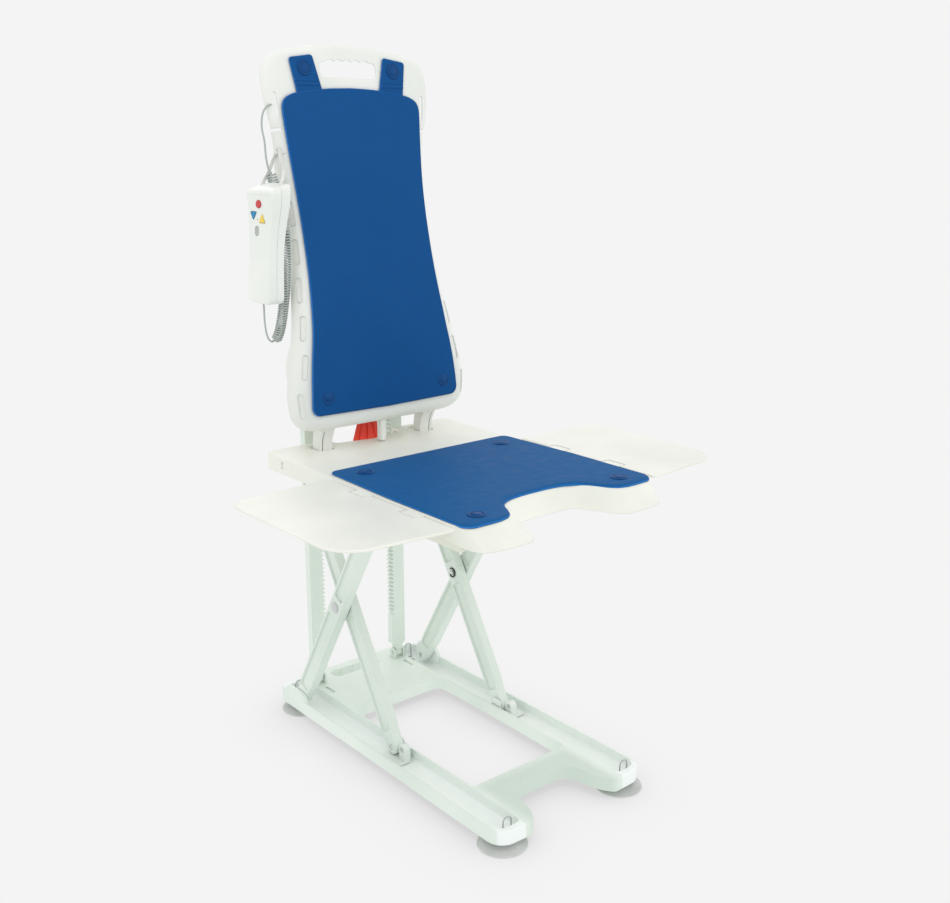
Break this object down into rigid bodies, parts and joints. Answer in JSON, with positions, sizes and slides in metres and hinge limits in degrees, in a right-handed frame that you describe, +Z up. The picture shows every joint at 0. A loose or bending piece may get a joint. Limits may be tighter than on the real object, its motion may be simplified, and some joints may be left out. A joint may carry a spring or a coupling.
{
  "type": "bath seat lift",
  "caption": "Bath seat lift: scissor legs on a suction-cup base raise a seat with folding side flaps and a reclining backrest driven along toothed racks by a hand control.",
  "frame": {"origin": "on the floor, under the middle of the whole object", "axes": "+Z up, +Y towards the backrest, so the seated user looks along -Y and the hand control hangs on the -X side"},
  "size_m": [0.715, 0.6022, 1.0878],
  "materials": {
    "pale_green_white_plastic": "moulded plastic, white with a slight green cast, fine satin texture",
    "cream_white_plastic": "moulded plastic, warm white, fine satin texture",
    "white_bearing_plastic": "smooth low-friction plastic",
    "grey_rubber": "soft translucent grey suction rubber",
    "coated_wire": "bent steel wire",
    "pin_steel": "stainless steel pin stock",
    "dark_spring_steel": "blackened spring steel",
    "drive_steel": "turned and cut steel",
    "blue_foam_cover": "closed-cell foam sheet with a matt blue skin",
    "blue_button_plastic": "moulded snap button",
    "dark_housing_plastic": "black glass-filled plastic",
    "red_plastic": "moulded red plastic",
    "handset_plastic": "smooth white plastic",
    "red_button_plastic": "soft-touch red key",
    "blue_key_plastic": "soft-touch blue key",
    "yellow_key_plastic": "soft-touch yellow key",
    "board_green": "circuit board laminate",
    "strap_white": "white rubber cord",
    "grey_lead": "grey cable sheath"
  },
  "bodies": {
    "base": {"base_frame": "pale_green_white_plastic", "suction_cup_front_left": "grey_rubber", "suction_cup_front_right": "grey_rubber", "suction_cup_rear_left": "grey_rubber", "suction_cup_rear_right": "grey_rubber", "base_pin_left": "pin_steel", "base_pin_right": "pin_steel"},
    "loop_front_left": {"pull_loop_front_left": "coated_wire"},
    "loop_front_right": {"pull_loop_front_right": "coated_wire"},
    "loop_rear_left": {"pull_loop_rear_left": "coated_wire"},
    "loop_rear_right": {"pull_loop_rear_right": "coated_wire"},
    "rear_legs": {"rear_leg_left": "pale_green_white_plastic", "middle_pin_left": "pin_steel", "spring_clip_left": "dark_spring_steel", "rear_leg_right": "pale_green_white_plastic", "middle_pin_right": "pin_steel", "spring_clip_right": "dark_spring_steel"},
    "front_legs": {"front_leg_left": "pale_green_white_plastic", "seat_pin_left": "pin_steel", "front_leg_right": "pale_green_white_plastic", "seat_pin_right": "pin_steel"},
    "seat": {"seat_plate": "cream_white_plastic", "seat_cover": "blue_foam_cover", "seat_button_front_left": "blue_button_plastic", "seat_button_front_right": "blue_button_plastic", "seat_button_rear_left": "blue_button_plastic", "seat_button_rear_right": "blue_button_plastic", "recline_pin_left": "pin_steel", "recline_pin_right": "pin_steel", "flap_pin_left": "pin_steel", "flap_pin_right": "pin_steel"},
    "flap_left": {"side_flap_left": "cream_white_plastic"},
    "flap_right": {"side_flap_right": "cream_white_plastic"},
    "lower_shoes": {"lower_shoe_left": "white_bearing_plastic", "lower_shoe_right": "white_bearing_plastic"},
    "upper_sliders": {"upper_slider_left": "white_bearing_plastic", "upper_slider_right": "white_bearing_plastic"},
    "racks": {"rack_left": "pale_green_white_plastic", "rack_right": "pale_green_white_plastic"},
    "backrest": {"back_panel": "cream_white_plastic", "back_cover": "blue_foam_cover", "back_button_bottom_left": "blue_button_plastic", "back_button_bottom_right": "blue_button_plastic", "back_button_top_left": "blue_button_plastic", "back_button_top_right": "blue_button_plastic", "drive_housing": "cream_white_plastic", "gear_motor": "dark_housing_plastic", "handset_front_shell": "handset_plastic", "handset_rear_shell": "handset_plastic", "control_board": "board_green", "battery_pack": "dark_housing_plastic", "hanging_strap": "strap_white", "handset_lead": "grey_lead"},
    "cross_drive": {"cross_shaft": "drive_steel"},
    "pinion_l": {"pinion_left": "drive_steel"},
    "pinion_r": {"pinion_right": "drive_steel"},
    "lever": {"release_lever": "red_plastic"},
    "key_stop": {"stop_button": "red_button_plastic"},
    "key_down": {"down_button": "blue_key_plastic"},
    "key_up": {"up_button": "yellow_key_plastic"}
  },
  "joints": [
    {"name": "lift", "type": "hinge", "parent": "base", "child": "rear_legs", "pos_m": [0, 0.23515, 0.036], "axis": [1, 0, 0], "range_deg": [0, 58.4]},
    {"name": "scissor", "type": "hinge", "parent": "rear_legs", "child": "front_legs", "pos_m": [0, 0.11615, 0.238], "axis": [1, 0, 0], "range_deg": [-116.9, 0]},
    {"name": "seat_level", "type": "hinge", "parent": "front_legs", "child": "seat", "pos_m": [0, 0.23515, 0.44], "axis": [1, 0, 0], "range_deg": [0, 58.5]},
    {"name": "shoe_level", "type": "hinge", "parent": "front_legs", "child": "lower_shoes", "pos_m": [0, -0.00285, 0.036], "axis": [1, 0, 0], "range_deg": [0, 58.5]},
    {"name": "slider_level", "type": "hinge", "parent": "rear_legs", "child": "upper_sliders", "pos_m": [0, -0.00285, 0.44], "axis": [1, 0, 0], "range_deg": [-58.5, 0]},
    {"name": "recline", "type": "hinge", "parent": "seat", "child": "backrest", "pos_m": [0, 0.19415, 0.4647], "axis": [-1, 0, 0], "range_deg": [0, 40.1]},
    {"name": "rack_lean", "type": "hinge", "parent": "base", "child": "racks", "pos_m": [0, 0.25915, 0.046], "axis": [-1, 0, 0], "range_deg": [0, 40.1]},
    {"name": "drive_shaft", "type": "hinge", "parent": "backrest", "child": "cross_drive", "pos_m": [0, 0.19915, 0.545], "axis": [-1, 0, 0], "range_deg": [0, 1460.3]},
    {"name": "pinion_left_turn", "type": "hinge", "parent": "backrest", "child": "pinion_l", "pos_m": [-0.054, 0.25915, 0.545], "axis": [0, 1, 0], "range_deg": [0, 1460.3]},
    {"name": "pinion_right_turn", "type": "hinge", "parent": "backrest", "child": "pinion_r", "pos_m": [0.054, 0.25915, 0.545], "axis": [0, -1, 0], "range_deg": [0, 1460.3]},
    {"name": "left_flap", "type": "hinge", "parent": "seat", "child": "flap_left", "pos_m": [-0.193, 0.00915, 0.47], "axis": [0, 1, 0], "range_deg": [0, 90]},
    {"name": "right_flap", "type": "hinge", "parent": "seat", "child": "flap_right", "pos_m": [0.193, 0.00915, 0.47], "axis": [0, -1, 0], "range_deg": [0, 90]},
    {"name": "release", "type": "hinge", "parent": "seat", "child": "lever", "pos_m": [0, 0.21715, 0.462], "axis": [-1, 0, 0], "range_deg": [0, 35]},
    {"name": "press_stop", "type": "slide", "parent": "backrest", "child": "key_stop", "axis": [1, 0, 0], "range_m": [0, 0.001]},
    {"name": "press_down", "type": "slide", "parent": "backrest", "child": "key_down", "axis": [1, 0, 0], "range_m": [0, 0.001]},
    {"name": "press_up", "type": "slide", "parent": "backrest", "child": "key_up", "axis": [1, 0, 0], "range_m": [0, 0.001]},
    {"name": "pull_front_left", "type": "slide", "parent": "base", "child": "loop_front_left", "axis": [0, 0, 1], "range_m": [0, 0.006]},
    {"name": "pull_front_right", "type": "slide", "parent": "base", "child": "loop_front_right", "axis": [0, 0, 1], "range_m": [0, 0.006]},
    {"name": "pull_rear_left", "type": "slide", "parent": "base", "child": "loop_rear_left", "axis": [0, 0, 1], "range_m": [0, 0.006]},
    {"name": "pull_rear_right", "type": "slide", "parent": "base", "child": "loop_rear_right", "axis": [0, 0, 1], "range_m": [0, 0.006]}
  ],
  "couplings": [
    {"joint": "scissor", "follows": "lift", "ratio": -2},
    {"joint": "seat_level", "follows": "lift", "ratio": 1},
    {"joint": "shoe_level", "follows": "lift", "ratio": 1},
    {"joint": "slider_level", "follows": "lift", "ratio": -1},
    {"joint": "recline", "follows": "lift", "ratio": 0.68493},
    {"joint": "rack_lean", "follows": "lift", "ratio": 0.68493},
    {"joint": "drive_shaft", "follows": "lift", "ratio": 25.002},
    {"joint": "pinion_left_turn", "follows": "lift", "ratio": 25.002},
    {"joint": "pinion_right_turn", "follows": "lift", "ratio": 25.002}
  ]
}
